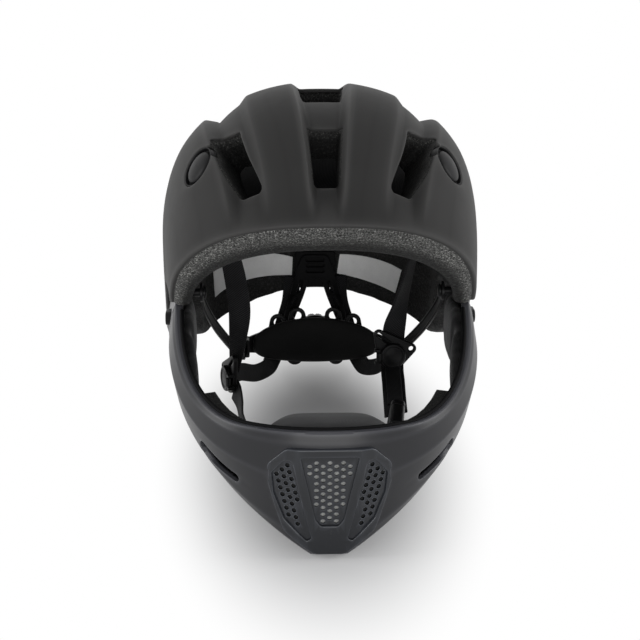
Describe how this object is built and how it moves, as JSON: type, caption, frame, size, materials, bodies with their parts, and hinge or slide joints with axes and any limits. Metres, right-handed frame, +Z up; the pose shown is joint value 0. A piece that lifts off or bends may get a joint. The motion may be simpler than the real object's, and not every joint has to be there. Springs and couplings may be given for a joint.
{
  "type": "full face helmet",
  "caption": "Full face helmet for a young rider: vented shell over foam, removable chin guard with perforated grille, dial-fit head ring and buckled straps.",
  "frame": {"origin": "middle of the bounding box's underside, on the surface the helmet stands on", "axes": "+Z up, +Y to the back of the head, +X to the side on the right as the front is seen; the face looks along -Y"},
  "size_m": [0.208, 0.3132, 0.2336],
  "materials": {
    "shell_matte": "matt",
    "guard_satin": "satin",
    "grille_gloss": "semi-gloss",
    "foam_dark": "matt bead foam",
    "pad_cloth": "matt",
    "chin_pad_cloth": "smooth",
    "webbing": "woven",
    "trim_plastic": "satin",
    "spring_steel": "bright"
  },
  "bodies": {
    "shell": {"outer_shell": "shell_matte", "foam_liner": "foam_dark", "visor_cap_left": "trim_plastic", "visor_cap_right": "trim_plastic", "brow_pad": "pad_cloth", "crown_pad": "pad_cloth", "latch_socket_left": "trim_plastic", "latch_socket_right": "trim_plastic", "latch_clip_left": "spring_steel", "latch_clip_right": "spring_steel", "ring_pin_left": "trim_plastic", "ring_pin_right": "trim_plastic", "rear_anchor": "trim_plastic", "rear_hanger": "trim_plastic", "strap_anchor_left": "trim_plastic", "strap_anchor_right": "trim_plastic", "front_strap_left": "webbing", "front_strap_right": "webbing", "rear_strap_left": "webbing", "rear_strap_right": "webbing", "strap_divider_left": "trim_plastic", "strap_divider_right": "trim_plastic", "chin_strap_left": "webbing", "chin_strap_right": "webbing", "buckle_socket": "trim_plastic", "strap_tail": "webbing"},
    "chin_guard": {"chin_bar": "guard_satin", "chin_bar_foam": "foam_dark", "chin_grille": "grille_gloss", "grille_filter": "foam_dark", "chin_pad": "chin_pad_cloth", "cheek_pad_left": "pad_cloth", "cheek_pad_right": "pad_cloth", "button_spring_left": "spring_steel", "button_spring_right": "spring_steel"},
    "release_left": {"release_button_left": "trim_plastic"},
    "release_right": {"release_button_right": "trim_plastic"},
    "head_ring": {"ring_arm_left": "trim_plastic", "ring_arm_right": "trim_plastic"},
    "cradle": {"rear_cradle": "trim_plastic", "cradle_pad": "pad_cloth"},
    "dial": {"adjuster_dial": "trim_plastic", "dial_pinion": "spring_steel"},
    "clamp_left": {"divider_clamp_left": "trim_plastic"},
    "clamp_right": {"divider_clamp_right": "trim_plastic"},
    "buckle": {"buckle_plug": "trim_plastic", "buckle_prongs": "trim_plastic"}
  },
  "joints": [
    {"name": "chin_guard_slide", "type": "slide", "parent": "shell", "child": "chin_guard", "axis": [0, -0.9842, 0.1771], "range_m": [0, 0.06], "deforming": ["latch_clip_left", "latch_clip_right"]},
    {"name": "release_left_press", "type": "slide", "parent": "chin_guard", "child": "release_left", "axis": [1, 0, 0], "range_m": [0, 0.0025], "stiffness_N_per_m": 800, "springref_m": -0.001, "deforming": ["button_spring_left"]},
    {"name": "release_right_press", "type": "slide", "parent": "chin_guard", "child": "release_right", "axis": [-1, 0, 0], "range_m": [0, 0.0025], "stiffness_N_per_m": 800, "springref_m": -0.001, "deforming": ["button_spring_right"]},
    {"name": "head_ring_tilt", "type": "hinge", "parent": "shell", "child": "head_ring", "pos_m": [0, -0.02133, 0.11036], "axis": [-1, 0, 0], "range_deg": [0, 3], "deforming": ["rear_hanger", "rear_strap_left", "rear_strap_right"]},
    {"name": "cradle_slide", "type": "slide", "parent": "head_ring", "child": "cradle", "axis": [0, 0.9842, -0.1771], "range_m": [0, 0.008], "deforming": ["rear_hanger", "rear_strap_left", "rear_strap_right"]},
    {"name": "dial_turn", "type": "hinge", "parent": "cradle", "child": "dial", "pos_m": [0, 0.1104, 0.01807], "axis": [0, 0.9842, -0.1771], "range_deg": [0, 360]},
    {"name": "clamp_left_open", "type": "hinge", "parent": "shell", "child": "clamp_left", "pos_m": [-0.06035, -0.0147, 0.04414], "axis": [0, 0.1771, 0.9842], "range_deg": [0, 100]},
    {"name": "clamp_right_open", "type": "hinge", "parent": "shell", "child": "clamp_right", "pos_m": [0.03823, 0.00135, 0.05345], "axis": [0, -0.1771, -0.9842], "range_deg": [0, 100]},
    {"name": "buckle_release", "type": "slide", "parent": "shell", "child": "buckle", "axis": [-0.1222, -0.9925, 0.0048], "range_m": [0, 0.02], "deforming": ["buckle_prongs", "chin_strap_left"]}
  ],
  "couplings": [
    {"joint": "dial_turn", "follows": "cradle_slide", "rad_per_m": 750}
  ]
}
